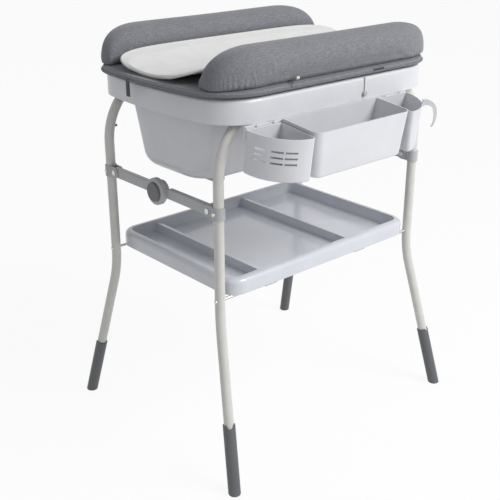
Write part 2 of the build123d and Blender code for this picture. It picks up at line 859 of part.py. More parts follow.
def bolster_section(height, width, end):
    """Upright oval section of a bolster, flat below, in YZ coordinates."""
    inner = bolster_inner
    outer = inner + bolster_width * width
    base = mat_top + rest_gap
    shoulder = base + bolster_height * height * bolster_shoulder
    middle = base + bolster_height * height * bolster_waist
    outer_top = outer - bolster_lean_out * width
    inner_top = inner + bolster_lean_in * width
    bulge = bolster_bulge * width
    with BuildSketch() as section:
        with BuildLine():
            Line((end * inner, base), (end * outer, base))
            ThreePointArc((end * outer, base), (end * (outer + bulge), middle), (end * outer_top, shoulder))
            ThreePointArc(
                (end * outer_top, shoulder),
                (end * (inner + outer) / 2, base + bolster_height * height),
                (end * inner_top, shoulder),
            )
            ThreePointArc(
                (end * inner_top, shoulder), (end * (inner - bulge / 2), middle), (end * inner, base)
            )
        make_face()
    return section.sketch


bolster_places = (0.995, 0.96, 0.88, 0.75, 0.55, 0.3)


def bolster_station(place, side):
    """Place along X, height and width of a section at a share of the end taper."""
    height = (1 - place**bolster_power) ** (1 / bolster_power)
    width = bolster_tip_width + (1 - bolster_tip_width) * sqrt(1 - place**2)
    return side * (bolster_flat + bolster_end * place), height, width


def make_bolster(end, name):
    """Stuffed side roll, crowned along its length, with its outer side rounded off at both ends."""
    left_end = [bolster_station(place, -1) for place in bolster_places]
    middle = [(-bolster_flat, 1.0, 1.0), (0, bolster_crown, 1.0), (bolster_flat, 1.0, 1.0)]
    right_end = [bolster_station(place, 1) for place in reversed(bolster_places)]
    with BuildPart() as bolster:
        for x, height, width in left_end + middle + right_end:
            with BuildSketch(across(x)):
                add(bolster_section(height, width, end))
        loft(ruled=True)
    finish(bolster, name)


make_bolster(-1, "bolster_front")
make_bolster(1, "bolster_rear")


def pad_section(width, thickness):
    """Shallow trough section of the liner pad, in YZ coordinates; both values are shares."""
    half_width = pad_half_width * width
    low = mat_top + rest_gap
    edge = low + pad_rise * width**2
    edge_top = edge + pad_edge * thickness
    lean_in = half_width - pad_edge_lean
    with BuildSketch() as section:
        with BuildLine():
            ThreePointArc((-half_width, edge), (0, low), (half_width, edge))
            Line((half_width, edge), (lean_in, edge_top))
            ThreePointArc((lean_in, edge_top), (0, low + pad_thickness * thickness), (-lean_in, edge_top))
            Line((-lean_in, edge_top), (-half_width, edge))
        make_face()
    return section.sketch


# Along the liner pad: place as a share of the half length, and thickness as a share
pad_stations = ((0.998, 0.45), (0.97, 0.80), (0.92, 0.95), (0.84, 1.0), (0.60, 1.0), (0.0, 1.08))
with BuildPart() as liner_pad:
    left_half = [(-place, thickness) for place, thickness in pad_stations]
    right_half = list(reversed(pad_stations[:-1]))
    for place, thickness in left_half + right_half:
        width = (1 - abs(place) ** pad_end_power) ** (1 / pad_side_power)
        with BuildSketch(across(pad_half_length * place)):
            add(pad_section(width, thickness))
    loft(ruled=True)
finish(liner_pad, "liner_pad")

# Strap at the left end of the mat, hanging over the rim from the bowed hem
bow_r = (mat_half_width**2 + mat_bow**2) / (2 * mat_bow)
hem_x = mat_half_length - bow_r + sqrt(bow_r**2 - (strap_y - strap_width / 2) ** 2)
with BuildPart() as mat_strap:
    strap_z = mat_low + mat_thickness / 2 - strap_length / 2
    with Locations((-(hem_x + rest_gap + strap_thickness / 2), strap_y, strap_z)):
        Box(strap_thickness, strap_width, strap_length)
    fillet(mat_strap.edges().filter_by(Axis.X), radius=strap_round)
finish(mat_strap, "mat_strap")

with BuildPart() as hem_tag:
    with Locations((tag_x, -(mat_half_width + rest_gap + tag_thickness / 2), mat_low + mat_thickness / 2)):
        Box(tag_length, tag_thickness, tag_height)
finish(hem_tag, "hem_tag")

# Elastic cord over the front of the rim and the button that it is looped on
rim_front = rim_half_width + rest_gap + cord_d / 2
button_z = rim_top - cord_button_drop
with BuildPart() as cord_button:
    with BuildSketch(Plane((cord_x, -rim_half_width, button_z), z_dir=(0, -1, 0))):
        Circle(cord_button_d / 2)
    extrude(amount=cord_button_height)
    fillet(cord_button.faces().sort_by(Axis.Y)[0].edges(), radius=cord_button_round)
finish(cord_button, "cord_button")

with BuildPart() as elastic_cord:
    cord_foot = button_z + cord_button_d / 2 + rest_gap
    with BuildSketch(Plane((cord_x, -rim_front, cord_foot))):
        Circle(cord_d / 2)
    extrude(amount=rim_top - cord_foot)
finish(elastic_cord, "elastic_cord")

# Loop and bead at the foot of the front bolster
loop_y = -(mat_half_width + rest_gap + loop_wire / 2)
loop_low = mat_low + loop_foot
with BuildPart() as hem_loop:
    with BuildLine():
        ThreePointArc(
            (loop_x - loop_width / 2, loop_y, loop_low),
            (loop_x - loop_width / 3, loop_y, loop_low + loop_height * 0.82),
            (loop_x + loop_width / 2, loop_y, loop_low + loop_height),
        )
    with BuildSketch(Plane((loop_x - loop_width / 2, loop_y, loop_low))):
        Circle(loop_wire / 2)
    sweep()
finish(hem_loop, "hem_loop")

with BuildPart() as loop_bead:
    with BuildSketch(across(loop_x + loop_width / 2 + rest_gap, loop_y, loop_low + loop_height)):
        Circle(bead_d / 2)
    extrude(amount=bead_length)
    fillet(loop_bead.edges(), radius=bead_round)
finish(loop_bead, "loop_bead")


# Tray

def tray_plan(inset):
    """Plan of the tray, drawn in by an inset."""
    with BuildSketch() as plan:
        RectangleRounded(2 * (tray_half_length - inset), 2 * (tray_half_width - inset), tray_corner - inset)
    return plan.sketch


def tray_block(inset, height, round_r):
    """Block on the tray's plan with a round upper edge."""
    with BuildPart() as block:
        with BuildSketch(Plane.XY.offset(tray_low)):
            add(tray_plan(inset))
        extrude(amount=height)
        fillet(block.faces().sort_by(Axis.Z)[-1].edges(), radius=round_r)
    return block.part


with BuildPart() as tray_channel:
    add(tray_block(tray_wall, tray_height - tray_wall, tray_round - tray_wall))
    with BuildSketch(Plane.XY.offset(tray_low)):
        add(tray_plan(tray_rim - 2 * tray_wall))
    extrude(amount=tray_height, mode=Mode.SUBTRACT)

with BuildPart() as shelf_tray:
    add(tray_block(0, tray_height, tray_round))
    add(tray_channel.part, mode=Mode.SUBTRACT)
    with BuildSketch(Plane.XY.offset(tray_low)):
        add(tray_plan(tray_rim))
    extrude(amount=tray_floor_rise, mode=Mode.SUBTRACT)
    hollow = tray_low + tray_floor_rise + tray_wall
    with BuildSketch(Plane.XY.offset(hollow)):
        add(tray_plan(tray_rim))
    with BuildSketch(Plane.XY.offset(tray_top)):
        add(tray_plan(tray_rim - tray_wall))
    loft(mode=Mode.SUBTRACT)
    for x in (tray_rib_left, tray_rib_right):
        with Locations((x, 0, (hollow + tray_top - tray_rib_drop) / 2)):
            Box(
                tray_rib,
                2 * (tray_half_width - tray_rim) + tray_wall,
                tray_top - tray_rib_drop - hollow + tray_wall,
            )
finish(shelf_tray, "shelf_tray")

# Clips that hold the tray on the front rod, and the pull lug between them
with BuildPart() as tray_clips:
    clip_outer = rod_d / 2 + fit + tray_clip_wall
    for x in (tray_clip_shift - tray_clip_x, tray_clip_shift + tray_clip_x):
        with BuildSketch(across(x - tray_clip_length / 2, -leg_y, rod_z)):
            Circle(clip_outer)
            with Locations((0, (tray_low - rod_z) / 2)):
                Rectangle(2 * clip_outer, tray_low - rod_z)
            with Locations((0, clip_outer + tray_low - rod_z)):
                Rectangle(3 * clip_outer, 2 * clip_outer, mode=Mode.SUBTRACT)
            Circle(rod_d / 2 + fit, mode=Mode.SUBTRACT)
        extrude(amount=tray_clip_length)
finish(tray_clips, "tray_clips")

with BuildPart() as tray_lug:
    lug_y = -(leg_y - rod_d - tray_clip_wall)
    lug_height = tray_floor_rise + tray_lug_drop
    with Locations((tray_lug_x, lug_y, tray_low + tray_floor_rise - lug_height / 2)):
        Box(tray_lug_length, tray_clip_wall, lug_height)
    fillet(tray_lug.edges().filter_by(Axis.Y).group_by(Axis.Z)[0], radius=tray_lug_round)
finish(tray_lug, "tray_lug")

# Bring the middle of the whole over the origin and write each piece
boxes = [piece.bounding_box() for piece in pieces.values()]
middle_y = (min(box.min.Y for box in boxes) + max(box.max.Y for box in boxes)) / 2
for name, piece in pieces.items():
    centred = piece.moved(Location((0, -middle_y, 0)))
    centred.label = name
    export_step(centred, f"parts/{name}.step")
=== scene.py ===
"""Looks of the folding changing table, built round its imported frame. Metres, +Z up, the front faces -Y."""
import json
from math import cos, pi, radians, sin, sqrt

import bpy
import numpy as np
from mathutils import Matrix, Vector


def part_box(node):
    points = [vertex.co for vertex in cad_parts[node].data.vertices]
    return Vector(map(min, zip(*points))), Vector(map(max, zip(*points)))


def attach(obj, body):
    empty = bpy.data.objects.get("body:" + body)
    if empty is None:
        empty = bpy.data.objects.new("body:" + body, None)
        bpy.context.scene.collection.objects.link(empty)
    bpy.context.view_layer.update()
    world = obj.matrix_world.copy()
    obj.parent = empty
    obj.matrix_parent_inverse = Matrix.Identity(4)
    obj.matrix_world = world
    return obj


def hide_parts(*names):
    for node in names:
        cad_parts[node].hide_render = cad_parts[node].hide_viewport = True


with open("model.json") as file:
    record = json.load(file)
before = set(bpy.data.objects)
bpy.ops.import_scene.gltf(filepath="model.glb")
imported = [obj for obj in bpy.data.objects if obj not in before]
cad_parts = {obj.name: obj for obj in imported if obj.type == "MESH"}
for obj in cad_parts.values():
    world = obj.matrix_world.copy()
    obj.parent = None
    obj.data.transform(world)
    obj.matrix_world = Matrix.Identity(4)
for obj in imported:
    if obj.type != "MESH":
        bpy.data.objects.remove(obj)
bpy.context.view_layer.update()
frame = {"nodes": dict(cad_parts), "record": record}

# Camera, measured about the middle of the four legs
LENS = 62.598
SENSOR = 36.0
AZIMUTH = radians(-41.60064)
ELEVATION = radians(22.88399)
CAMERA_PLACE = Vector((-1.46555, -1.59005, 1.33472))

# Light
KEY_PLACE = (1.2, -3.0, 3.2)
KEY_TARGET = (0, 0, 0.7)
KEY_SIZE = 2.0
KEY_POWER = 135
WORLD_LIGHT = 0.42
FLOOR_GLOW = 0.92
FLOOR_HALF = 9

# Mat: bow of its short ends, corner, piping and seam
MAT_BOW = 0.028
MAT_CORNER = 0.130
HEM_RISE = 0.0035
PIPING_R = 0.0026
PIPING_OUT = 0.0004
TOP_SEAM_R = 0.0011
TOP_SEAM_INSET = 0.0052
MAT_RIPPLE = 0.0005
MAT_RIPPLE_RATE = (300, 260)

# Edge of the mat from its underside to its top: inset, and share of its height
MAT_EDGE = (
    (0.060, 0.0), (0.012, 0.0), (0.004, 0.04), (0.0012, 0.16), (0.0006, 0.30), (0.0, 0.50),
    (0.0012, 0.74), (0.004, 0.90), (0.0095, 0.985), (0.020, 1.0), (0.060, 1.0),
)

# Bolsters: where the end taper starts, how a section is shaped and how the foot is gathered
BOLSTER_FLAT = 0.224
BOLSTER_POWER = 2.5
BOLSTER_TIP_WIDTH = 0.28
BOLSTER_TIP_HEIGHT = 0.04
BOLSTER_WAIST = 0.32
BOLSTER_SIDE_ROUND = 0.62
BOLSTER_CROWN_ROUND = 0.80
BOLSTER_FLOOR_ROUND = 0.30
BOLSTER_RINGS = 90
BOLSTER_SIDES = 44
BOLSTER_VOXEL = 0.005
BOLSTER_PRESSURE = 4.0
BOLSTER_CAP = 0.004
GATHER_HEIGHT = 0.034
GATHER_PITCH = 0.013
GATHER_DEPTH = 0.0011
GATHER_START = 0.03
GATHER_RUN = 0.05

# Liner pad: trough, edge, plan and faint sewn lines
PAD_RISE = 0.033
PAD_THICKNESS = 0.0095
PAD_EDGE_R = 0.0034
PAD_END_POWER = 6.0
PAD_SIDE_POWER = 8.0
PAD_TIP_HALF = 0.012
PAD_FADE = 0.03
PAD_PUFF = 0.0006
PAD_COLUMNS = 150
PAD_ROWS = 70
QUILT_PITCH = 0.052
QUILT_DEPTH = 0.0006
QUILT_WIDTH = 0.0035

# Strap, tag and cord
CLOTH_THICKNESS = 0.0011
FLAP_STEPS = 12
CORD_D = 0.0022


# Node helpers

def new_material(name):
    """Material with a principled shader; returns the material, its tree and the shader."""
    made = bpy.data.materials.new(name)
    made.use_nodes = True
    tree = made.node_tree
    return made, tree, tree.nodes["Principled BSDF"]


def node(tree, kind, inputs=None, **settings):
    """Adds a node, with values or links for its inputs."""
    made = tree.nodes.new(kind)
    for key, value in settings.items():
        setattr(made, key, value)
    for key, value in (inputs or {}).items():
        if isinstance(value, bpy.types.NodeSocket):
            tree.links.new(value, made.inputs[key])
        else:
            made.inputs[key].default_value = value
    return made


def shade(colour, share):
    """Colour made lighter or darker by a share, as an RGBA value."""
    return tuple(min(1.0, part * share) for part in colour) + (1.0,)


def noise(tree, place, scale, detail=2.0, stretch=(1, 1, 1)):
    """Noise in metres at a scale, stretched along the axes."""
    mapping = node(tree, "ShaderNodeMapping", {"Vector": place, "Scale": stretch})
    made = node(
        tree, "ShaderNodeTexNoise", {"Vector": mapping.outputs["Vector"], "Scale": scale, "Detail": detail}
    )
    return made.outputs["Fac"]


def ramp(tree, value, stops):
    """Colour ramp through (place, colour) stops."""
    made = node(tree, "ShaderNodeValToRGB", {"Fac": value})
    elements = made.color_ramp.elements
    while len(elements) < len(stops):
        elements.new(0.5)
    for element, (place, colour) in zip(elements, stops):
        element.position = place
        element.color = colour
    return made.outputs["Color"]


def spread(tree, value, low, high):
    """Maps the middle of a noise to a range of numbers."""
    made = node(
        tree,
        "ShaderNodeMapRange",
        {"Value": value, "From Min": 0.3, "From Max": 0.7, "To Min": low, "To Max": high},
    )
    return made.outputs["Result"]


def bump(tree, height, strength, distance):
    """Bump from a height value."""
    made = node(
        tree, "ShaderNodeBump", {"Height": height, "Strength": strength, "Distance": distance}
    )
    return made.outputs["Normal"]


def object_place(tree):
    return node(tree, "ShaderNodeTexCoord").outputs["Object"]


def moulded(name, colour, roughness, grain=0.08, coat=0.0):
    """Moulded plastic: faint clouding, uneven gloss and a fine texture."""
    made, tree, shader = new_material(name)
    place = object_place(tree)
    cloud = noise(tree, place, 14.0, 3.0)
    tone = ramp(tree, cloud, [(0.3, shade(colour, 0.965)), (0.7, shade(colour, 1.02))])
    tree.links.new(tone, shader.inputs["Base Color"])
    gloss = spread(tree, noise(tree, place, 70.0, 3.0), roughness - 0.04, roughness + 0.05)
    tree.links.new(gloss, shader.inputs["Roughness"])
    tree.links.new(bump(tree, noise(tree, place, 1500.0, 1.0), grain, 0.0004), shader.inputs["Normal"])
    shader.inputs["Coat Weight"].default_value = coat
    shader.inputs["Coat Roughness"].default_value = 0.12
    return made


def powder_coat(name, colour):
    """Powder-coated steel tube: satin, with a faint orange peel."""
    made, tree, shader = new_material(name)
    place = object_place(tree)
    tone = ramp(
        tree, noise(tree, place, 40.0, 4.0), [(0.3, shade(colour, 0.95)), (0.7, shade(colour, 1.03))]
    )
    tree.links.new(tone, shader.inputs["Base Color"])
    tree.links.new(spread(tree, noise(tree, place, 180.0), 0.30, 0.42), shader.inputs["Roughness"])
    tree.links.new(bump(tree, noise(tree, place, 650.0, 2.0), 0.10, 0.0005), shader.inputs["Normal"])
    shader.inputs["Coat Weight"].default_value = 0.15
    return made


def plated_steel(name, colour):
    """Zinc-plated steel with fine drawn lines."""
    made, tree, shader = new_material(name)
    place = object_place(tree)
    lines = noise(tree, place, 60.0, 3.0, (1, 30, 30))
    tone = ramp(tree, lines, [(0.3, shade(colour, 0.88)), (0.7, shade(colour, 1.06))])
    tree.links.new(tone, shader.inputs["Base Color"])
    tree.links.new(spread(tree, lines, 0.26, 0.42), shader.inputs["Roughness"])
    shader.inputs["Metallic"].default_value = 1.0
    return made


def hardboard(name, colour):
    """Brown fibre board with short fibres."""
    made, tree, shader = new_material(name)
    place = object_place(tree)
    fibres = noise(tree, place, 260.0, 5.0, (1, 0.35, 1))
    tone = ramp(tree, fibres, [(0.3, shade(colour, 0.8)), (0.7, shade(colour, 1.15))])
    tree.links.new(tone, shader.inputs["Base Color"])
    tree.links.new(bump(tree, fibres, 0.3, 0.0006), shader.inputs["Normal"])
    shader.inputs["Roughness"].default_value = 0.75
    return made


def weave_height(tree, place, pitch):
    """Height of a plain weave: two crossed rows of threads."""
    rows = []
    for direction in ("X", "Y", "Z"):
        wave = node(
            tree,
            "ShaderNodeTexWave",
            {"Vector": place, "Scale": 0.314 / pitch / 2, "Distortion": 0.6, "Detail": 1.0},
            bands_direction=direction,
        )
        rows.append(wave.outputs["Fac"])
    first = node(tree, "ShaderNodeMath", {0: rows[0], 1: rows[1]}, operation="MULTIPLY")
    both = node(tree, "ShaderNodeMath", {0: first.outputs["Value"], 1: rows[2]}, operation="ADD")
    return both.outputs["Value"]


def melange(name, colour, contrast=0.24):
    """Woven melange fabric: light and dark yarns run up and along, with a fine weave."""
    made, tree, shader = new_material(name)
    place = object_place(tree)
    up = noise(tree, place, 620.0, 3.0, (1, 1, 0.12))
    along = noise(tree, place, 620.0, 3.0, (0.12, 1, 1))
    yarns = node(tree, "ShaderNodeMath", {0: up, 1: along}, operation="ADD")
    half = node(tree, "ShaderNodeMath", {0: yarns.outputs["Value"], 1: 0.5}, operation="MULTIPLY")
    tone = ramp(
        tree,
        half.outputs["Value"],
        [
            (0.36, shade(colour, 1 - contrast)),
            (0.5, shade(colour, 1.0)),
            (0.64, shade(colour, 1 + 1.5 * contrast)),
        ],
    )
    wear = ramp(tree, noise(tree, place, 9.0, 2.0), [(0.3, (0.93, 0.93, 0.93, 1)), (0.7, (1, 1, 1, 1))])
    mixed = node(tree, "ShaderNodeMix", data_type="RGBA", blend_type="MULTIPLY")
    mixed.inputs["Factor"].default_value = 1.0
    tree.links.new(tone, mixed.inputs[6])
    tree.links.new(wear, mixed.inputs[7])
    tree.links.new(mixed.outputs[2], shader.inputs["Base Color"])
    weave = weave_height(tree, place, 0.0012)
    height = node(tree, "ShaderNodeMath", {0: weave, 1: half.outputs["Value"]}, operation="ADD")
    tree.links.new(bump(tree, height.outputs["Value"], 0.35, 0.0006), shader.inputs["Normal"])
    shader.inputs["Roughness"].default_value = 0.88
    shader.inputs["Sheen Weight"].default_value = 0.25
    shader.inputs["Sheen Roughness"].default_value = 0.5
    return made


def soft_cloth(name, colour, pitch):
    """Plain light cloth with a fine knit and faint creasing."""
    made, tree, shader = new_material(name)
    place = object_place(tree)
    tone = ramp(
        tree, noise(tree, place, 30.0, 4.0), [(0.3, shade(colour, 0.96)), (0.7, shade(colour, 1.02))]
    )
    tree.links.new(tone, shader.inputs["Base Color"])
    creases = noise(tree, place, 55.0, 3.0)
    height = node(
        tree, "ShaderNodeMath", {0: weave_height(tree, place, pitch), 1: creases}, operation="ADD"
    )
    tree.links.new(bump(tree, height.outputs["Value"], 0.18, 0.0008), shader.inputs["Normal"])
    shader.inputs["Roughness"].default_value = 0.9
    shader.inputs["Sheen Weight"].default_value = 0.15
    return made


MATERIALS = {
    "tube_paint": powder_coat("tube_paint", (0.62, 0.61, 0.575)),
    "foot_plastic": moulded("foot_plastic", (0.115, 0.118, 0.125), 0.45),
    "bar_plastic": moulded("bar_plastic", (0.45, 0.45, 0.455), 0.42),
    "lock_plastic": moulded("lock_plastic", (0.47, 0.47, 0.475), 0.42),
    "button_plastic": moulded("button_plastic", (0.15, 0.15, 0.157), 0.45),
    "steel": plated_steel("steel", (0.66, 0.66, 0.66)),
    "dark_pin": moulded("dark_pin", (0.06, 0.06, 0.065), 0.4),
    "tub_plastic": moulded("tub_plastic", (0.66, 0.66, 0.685), 0.32, coat=0.1),
    # Tub feet: the tub's own plastic darkened to look shaded, painted shade
    "tub_foot_plastic": moulded("tub_foot_plastic", (0.42, 0.42, 0.43), 0.5),
    "container_plastic": moulded("container_plastic", (0.66, 0.66, 0.685), 0.34, coat=0.08),
    "tray_plastic": moulded("tray_plastic", (0.62, 0.635, 0.68), 0.20, coat=0.3),
    "board": hardboard("board", (0.12, 0.11, 0.10)),
    "mat_fabric": melange("mat_fabric", (0.185, 0.190, 0.207)),
    "pad_fabric": soft_cloth("pad_fabric", (0.76, 0.755, 0.74), 0.0011),
    "strap_fabric": melange("strap_fabric", (0.055, 0.055, 0.06), 0.2),
    "tag_fabric": melange("tag_fabric", (0.03, 0.035, 0.09), 0.2),
    "cord_elastic": melange("cord_elastic", (0.46, 0.46, 0.47), 0.2),
    "bead_plastic": moulded("bead_plastic", (0.62, 0.60, 0.56), 0.3),
}
PIPING = melange("piping_fabric", (0.135, 0.138, 0.152))
PAD_BINDING = soft_cloth("pad_binding", (0.70, 0.69, 0.66), 0.0009)

for subpart in frame["record"]["subparts"]:
    cad_object = frame["nodes"][subpart["node"]]
    cad_object.data.materials.clear()
    cad_object.data.materials.append(MATERIALS[subpart["material_slot"]])


# Mesh helpers

def mesh_piece(name, points, faces, smooth=True):
    """Object from points and faces."""
    mesh = bpy.data.meshes.new(name)
    mesh.from_pydata([tuple(point) for point in points], [], faces)
    mesh.update()
    if smooth:
        mesh.polygons.foreach_set("use_smooth", [True] * len(mesh.polygons))
    made = bpy.data.objects.new(name, mesh)
    bpy.context.scene.collection.objects.link(made)
    return made


def ring_faces(rings, sides, closed=False):
    """Quads between rings of equal size; closed joins the last ring to the first."""
    faces = []
    for ring in range(rings if closed else rings - 1):
        here = ring * sides
        ahead = ((ring + 1) % rings) * sides
        for side in range(sides):
            beside = (side + 1) % sides
            faces.append((here + side, here + beside, ahead + beside, ahead + side))
    return faces


def skin(name, rings, cap=True):
    """Closed skin over rings of points, with flat caps."""
    sides = len(rings[0])
    points = [point for ring in rings for point in ring]
    faces = ring_faces(len(rings), sides)
    if cap:
        faces.append(tuple(reversed(range(sides))))
        faces.append(tuple(range((len(rings) - 1) * sides, len(rings) * sides)))
    return mesh_piece(name, points, faces)


def tube(name, path, radius, sides=10, closed=True):
    """Round tube along a path of points."""
    count = len(path)
    points = []
    for index in range(count):
        before = path[index - 1] if closed or index else path[index]
        after = path[(index + 1) % count] if closed or index < count - 1 else path[index]
        along = (after - before).normalized()
        out = along.cross(Vector((0, 0, 1)))
        if out.length < 1e-4:
            out = Vector((1, 0, 0))
        out.normalize()
        up = out.cross(along).normalized()
        for side in range(sides):
            angle = 2 * pi * side / sides
            points.append(path[index] + radius * (cos(angle) * out + sin(angle) * up))
    faces = ring_faces(count, sides, closed)
    if not closed:
        faces.append(tuple(reversed(range(sides))))
        faces.append(tuple(range((count - 1) * sides, count * sides)))
    return mesh_piece(name, points, faces)


def dress(piece, material, body):
    """Gives a piece its material and body."""
    piece.data.materials.clear()
    piece.data.materials.append(material)
    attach(piece, body)
    return piece


def evaluated_points(piece):
    """Points of a piece after its modifiers."""
    shown = piece.evaluated_get(bpy.context.evaluated_depsgraph_get())
    flat = np.empty(len(shown.data.vertices) * 3)
    shown.data.vertices.foreach_get("co", flat)
    return flat.reshape(-1, 3)


def apply_modifiers(piece):
    """Replaces a piece's mesh by what its modifiers make of it."""
    shown = piece.evaluated_get(bpy.context.evaluated_depsgraph_get())
    made = bpy.data.meshes.new_from_object(shown)
    piece.modifiers.clear()
    piece.data = made
    made.polygons.foreach_set("use_smooth", [True] * len(made.polygons))


def swell(piece, voxel, pressure, cap):
    """Swells a closed piece as filled fabric does; no point moves further than the cap."""
    remesh = piece.modifiers.new("remesh", "REMESH")
    remesh.mode = "VOXEL"
    remesh.voxel_size = voxel
    apply_modifiers(piece)
    start = evaluated_points(piece)
    cloth = piece.modifiers.new("cloth", "CLOTH")
    cloth.settings.quality = 5
    cloth.settings.use_pressure = True
    cloth.settings.uniform_pressure_force = pressure
    cloth.settings.effector_weights.gravity = 0.0
    scene = bpy.context.scene
    for step in range(1, 21):
        scene.frame_set(step)
    moved = evaluated_points(piece) - start
    piece.modifiers.clear()
    scene.frame_set(1)
    length = np.linalg.norm(moved, axis=1, keepdims=True)
    moved *= np.minimum(1.0, cap / np.maximum(length, 1e-9))
    piece.data.vertices.foreach_set("co", (start + moved).ravel())
    piece.data.update()


def move_points(piece, rule):
    """Moves each point of a mesh by a rule of its place and normal."""
    for point in piece.data.vertices:
        point.co += rule(point.co.copy(), point.normal.copy())
    piece.data.update()


# Mat

mat_low, mat_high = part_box("mat_base")
mat_middle = (mat_low + mat_high) / 2
mat_half_x = (mat_high.x - mat_low.x) / 2
mat_half_y = (mat_high.y - mat_low.y) / 2


def bowed_outline(inset, steps=56):
    """Plan of the mat as points about its middle: straight long sides, bowed ends, round corners."""
    half_x = mat_half_x - inset
    half_y = mat_half_y - inset
    corner = MAT_CORNER - inset
    bow_r = (half_y**2 + MAT_BOW**2) / (2 * MAT_BOW)
    bow_x = half_x - bow_r
    reach = sqrt((bow_r - corner) ** 2 - (half_y - corner) ** 2)
    centre = Vector((bow_x + reach, half_y - corner))
    turn = Vector((reach, half_y - corner)).normalized()
    end_angle = np.arctan2(turn.y, turn.x)
    quarter = []
    for share in np.linspace(0, 1, steps // 2):
        angle = end_angle * share
        quarter.append(Vector((bow_x + bow_r * cos(angle), bow_r * sin(angle))))
    for share in np.linspace(0, 1, steps // 2)[1:]:
        angle = end_angle + (pi / 2 - end_angle) * share
        quarter.append(Vector((centre.x + corner * cos(angle), centre.y + corner * sin(angle))))
    for share in np.linspace(0, 1, steps)[1:]:
        quarter.append(Vector((centre.x * (1 - share), half_y)))
    back_left = [Vector((-point.x, point.y)) for point in reversed(quarter[:-1])]
    upper = quarter + back_left
    lower = [Vector((point.x, -point.y)) for point in reversed(upper[1:-1])]
    return upper + lower


def outline_at(inset, z):
    """Outline of the mat in the row frame at a height."""
    return [Vector((mat_middle.x + p.x, mat_middle.y + p.y, z)) for p in bowed_outline(inset)]


def make_mat_base():
    """Padded base: rolled edge from the hem up to a slightly crowned top."""
    height = mat_high.z - mat_low.z
    rings = []
    for inset, share in MAT_EDGE:
        rings.append(outline_at(inset, mat_low.z + height * share))
    base = skin("mat_base_cover", rings)
    along, across = MAT_RIPPLE_RATE

    def ripple(place, normal):
        return normal * MAT_RIPPLE * sin(place.x * along) * sin(place.y * across + 1)

    move_points(base, ripple)
    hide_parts("mat_base")
    dress(base, MATERIALS["mat_fabric"], "mat")
    piping = tube("mat_piping", outline_at(-PIPING_OUT, mat_low.z + HEM_RISE), PIPING_R)
    dress(piping, PIPING, "mat")
    upper = tube("mat_top_seam", outline_at(TOP_SEAM_INSET, mat_high.z - TOP_SEAM_R), TOP_SEAM_R, 8)
    dress(upper, PIPING, "mat")


def bolster_section(past, low, high, end):
    """Ring of a bolster: past is 0 on the straight part and rises to 1 at its tip."""
    share = max(0.0, 1 - past**BOLSTER_POWER) ** (1 / BOLSTER_POWER)
    lift = high.z - low.z
    inner = low.y if end > 0 else high.y
    outer = high.y if end > 0 else low.y
    drawn = BOLSTER_TIP_WIDTH + (1 - BOLSTER_TIP_WIDTH) * sqrt(max(0.0, 1 - past**2))
    half = abs(outer - inner) / 2 * drawn
    middle = inner + end * half
    tall = lift * max(share, BOLSTER_TIP_HEIGHT)
    ring = []
    for side in range(BOLSTER_SIDES):
        angle = 2 * pi * side / BOLSTER_SIDES
        across = cos(angle)
        up = sin(angle)
        y = np.sign(across) * abs(across) ** BOLSTER_SIDE_ROUND * half
        z = np.sign(up) * abs(up) ** (BOLSTER_CROWN_ROUND if up > 0 else BOLSTER_FLOOR_ROUND)
        reach = 1 - BOLSTER_WAIST if z > 0 else BOLSTER_WAIST
        ring.append((middle + end * y, low.z + tall * (BOLSTER_WAIST + reach * z)))
    return ring


def make_bolster(node_name, end):
    """Stuffed side roll with full rounded ends, gathered where it is sewn to the base."""
    low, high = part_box(node_name)
    half_length = (high.x - low.x) / 2
    taper = half_length - BOLSTER_FLAT
    rings = []
    for index in range(BOLSTER_RINGS):
        along = -cos(pi * index / (BOLSTER_RINGS - 1))
        x = half_length * along
        past = max(0.0, (abs(x) - BOLSTER_FLAT) / taper)
        rings.append([Vector((x, y, z)) for y, z in bolster_section(past, low, high, end)])
    bolster = skin(node_name + "_cover", rings)
    swell(bolster, BOLSTER_VOXEL, BOLSTER_PRESSURE, BOLSTER_CAP)

    def gather(place, normal):
        above = (place.z - low.z) / GATHER_HEIGHT
        beyond = (abs(place.x) - BOLSTER_FLAT + GATHER_START) / GATHER_RUN
        amount = max(0.0, 1 - abs(above - 0.25)) * min(1.0, max(0.0, beyond))
        run = place.x + end * place.y
        return normal * GATHER_DEPTH * amount * sin(2 * pi * run / GATHER_PITCH + 3 * sin(40 * run))

    move_points(bolster, gather)
    finer = bolster.modifiers.new("finer", "SUBSURF")
    finer.levels = 1
    finer.render_levels = 1
    apply_modifiers(bolster)
    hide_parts(node_name)
    dress(bolster, MATERIALS["mat_fabric"], "mat")


pad_low, pad_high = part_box("liner_pad")
pad_middle = (pad_low + pad_high) / 2
pad_half_x = (pad_high.x - pad_low.x) / 2
pad_half_y = (pad_high.y - pad_low.y) / 2


def pad_half_at(x):
    """Half width of the pad at a place along it: nearly straight sides and blunt round ends."""
    return pad_half_y * (1 - abs(x / pad_half_x) ** PAD_END_POWER) ** (1 / PAD_SIDE_POWER)


def pad_top(x, y):
    """Height of the pad's upper side: a trough with faint sewn lines."""
    trough = PAD_RISE * (y / pad_half_y) ** 2
    line = (x + 0.35 * abs(y)) / QUILT_PITCH
    off = abs(line - round(line)) * QUILT_PITCH
    groove = QUILT_DEPTH * max(0.0, 1 - off / QUILT_WIDTH) ** 2
    fade = min(1.0, max(0.0, (pad_half_at(x) - abs(y)) / PAD_FADE))
    puff = PAD_PUFF * sin(x * 37 + 1) * cos(y * 41)
    return pad_low.z + PAD_THICKNESS * (0.55 + 0.45 * fade) + trough - groove * fade + puff * fade


